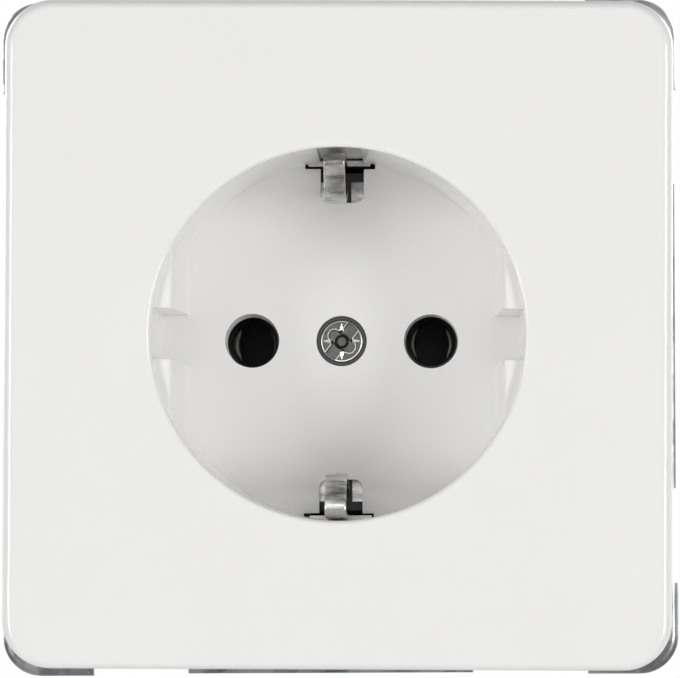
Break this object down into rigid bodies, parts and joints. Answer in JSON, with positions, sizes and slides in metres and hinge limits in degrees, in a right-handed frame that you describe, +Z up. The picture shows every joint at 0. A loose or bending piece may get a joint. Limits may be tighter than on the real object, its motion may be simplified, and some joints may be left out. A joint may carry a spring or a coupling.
{
  "type": "type f wall socket",
  "caption": "Flush wall socket with round recess, side pin holes, two sprung earth clips, steel support frame and spreading claws.",
  "frame": {"origin": "on the centre screw's axis, in the plane where the steel frame meets the wall", "axes": "+X to the right and +Z up as seen from the room, +Y into the wall, so the front looks along -Y"},
  "size_m": [0.071, 0.0382, 0.071],
  "materials": {
    "white_moulding": "smooth glossy white moulding",
    "zinc_steel": "galvanised pressed steel",
    "black_moulding": "black moulding",
    "grey_moulding": "dark grey moulding",
    "nickel_strip": "nickel-plated strip",
    "plated_screw": "bright plated steel",
    "brass_part": "turned brass",
    "contact_bronze": "contact bronze",
    "spring_steel": "bright spring steel",
    "button_plastic": "orange moulding"
  },
  "bodies": {
    "socket": {"cover_plate": "white_moulding", "centre_screw": "plated_screw", "centre_nut": "brass_part", "support_frame": "zinc_steel", "frame_rivets": "plated_screw", "base_body": "black_moulding", "rear_cover": "grey_moulding", "rear_screws": "plated_screw", "earth_strap": "nickel_strip", "earth_rail": "nickel_strip", "live_contact": "contact_bronze", "neutral_contact": "contact_bronze", "live_clamp_spring": "spring_steel", "neutral_clamp_spring": "spring_steel", "earth_clamp_spring": "spring_steel"},
    "live_button": {"live_release": "button_plastic"},
    "neutral_button": {"neutral_release": "button_plastic"},
    "earth_button": {"earth_release": "button_plastic"},
    "left_claw_body": {"left_claw": "zinc_steel"},
    "right_claw_body": {"right_claw": "zinc_steel"},
    "left_claw_drive": {"left_claw_screw": "plated_screw"},
    "right_claw_drive": {"right_claw_screw": "plated_screw"}
  },
  "joints": [
    {"name": "live_press", "type": "slide", "parent": "socket", "child": "live_button", "axis": [0, -1, 0], "range_m": [0, 0.0012], "stiffness_N_per_m": 300},
    {"name": "neutral_press", "type": "slide", "parent": "socket", "child": "neutral_button", "axis": [0, -1, 0], "range_m": [0, 0.0012], "stiffness_N_per_m": 300},
    {"name": "earth_press", "type": "slide", "parent": "socket", "child": "earth_button", "axis": [0, -1, 0], "range_m": [0, 0.0012], "stiffness_N_per_m": 300},
    {"name": "left_claw_screw_turn", "type": "hinge", "parent": "socket", "child": "left_claw_drive", "pos_m": [-0.0256, 0, 0], "axis": [0, 1, 0], "range_deg": [0, 290]},
    {"name": "left_claw_spread", "type": "hinge", "parent": "socket", "child": "left_claw_body", "pos_m": [-0.0236, 0.0055, 0], "axis": [0, 0, 1], "range_deg": [0, 14]},
    {"name": "right_claw_screw_turn", "type": "hinge", "parent": "socket", "child": "right_claw_drive", "pos_m": [0.0256, 0, 0], "axis": [0, 1, 0], "range_deg": [0, 290]},
    {"name": "right_claw_spread", "type": "hinge", "parent": "socket", "child": "right_claw_body", "pos_m": [0.0236, 0.0055, 0], "axis": [0, 0, -1], "range_deg": [0, 14]}
  ],
  "couplings": [
    {"joint": "left_claw_spread", "follows": "left_claw_screw_turn", "ratio": 0.0482},
    {"joint": "right_claw_spread", "follows": "right_claw_screw_turn", "ratio": 0.0482}
  ]
}
